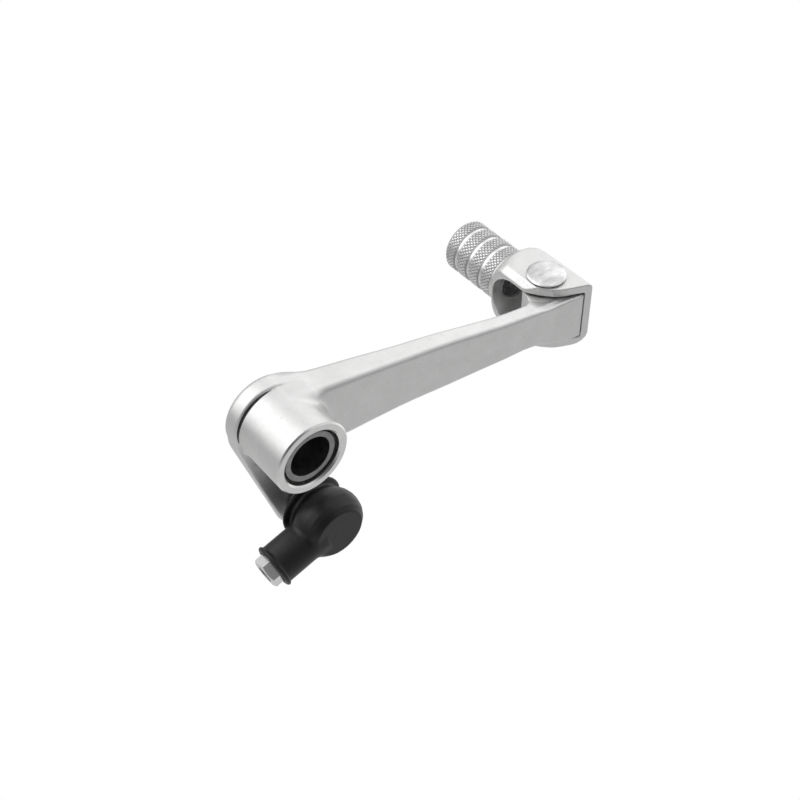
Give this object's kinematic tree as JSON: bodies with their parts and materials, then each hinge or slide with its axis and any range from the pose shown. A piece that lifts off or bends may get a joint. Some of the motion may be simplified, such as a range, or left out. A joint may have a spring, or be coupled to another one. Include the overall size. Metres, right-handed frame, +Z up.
{
  "type": "gear shift lever",
  "caption": "Gear shift lever for a motorcycle: forged arm on a pivot boss, folding round toe peg with grip bands, booted ball joint for the shift rod.",
  "frame": {"origin": "centre of the underside of the bounding box at rest", "axes": "+X along the arm from the pivot to the toe peg, +Y along the pivot and the toe peg away from the engine, +Z up"},
  "size_m": [0.1148, 0.0482, 0.0585],
  "materials": {
    "forged_aluminium": "forged, bead-blasted satin",
    "turned_aluminium": "turned and knurled, bright",
    "ground_steel": "ground",
    "zinc_steel": "bright zinc plated",
    "polished_steel": "polished",
    "spring_steel": "drawn wire",
    "bronze": "sintered, oil filled",
    "nylon": "moulded",
    "black_rubber": "satin moulded"
  },
  "bodies": {
    "pivot": {"pivot_sleeve": "ground_steel"},
    "lever": {"lever_arm": "forged_aluminium", "pivot_bush_inner": "bronze", "pivot_bush_outer": "bronze", "dust_seal_inner": "black_rubber", "dust_seal_outer": "black_rubber", "ball_stud": "zinc_steel", "stud_washer": "zinc_steel", "stud_nut": "zinc_steel", "fold_bush": "bronze"},
    "toe": {"toe_clevis": "forged_aluminium", "toe_peg": "turned_aluminium", "peg_screw": "zinc_steel", "fold_rivet": "polished_steel", "rivet_washer": "polished_steel", "fold_spring": "spring_steel"},
    "socket": {"ball_socket": "zinc_steel", "ball_cup": "nylon", "socket_cap": "zinc_steel", "dust_boot": "black_rubber"}
  },
  "joints": [
    {"name": "lever_pivot", "type": "hinge", "parent": "pivot", "child": "lever", "pos_m": [-0.04251, -0.01257, 0.04709], "axis": [0, 1, 0], "range_deg": [-14, 14]},
    {"name": "toe_fold", "type": "hinge", "parent": "lever", "child": "toe", "pos_m": [0.04879, -0.01148, 0.03778], "axis": [0, 0, 1], "range_deg": [0, 55], "stiffness_Nm_per_rad": 0.08, "springref_deg": -34.38},
    {"name": "socket_swivel", "type": "hinge", "parent": "lever", "child": "socket", "pos_m": [-0.03491, -0.01767, 0.01128], "axis": [0, 1, 0], "range_deg": [-30, 30]}
  ]
}
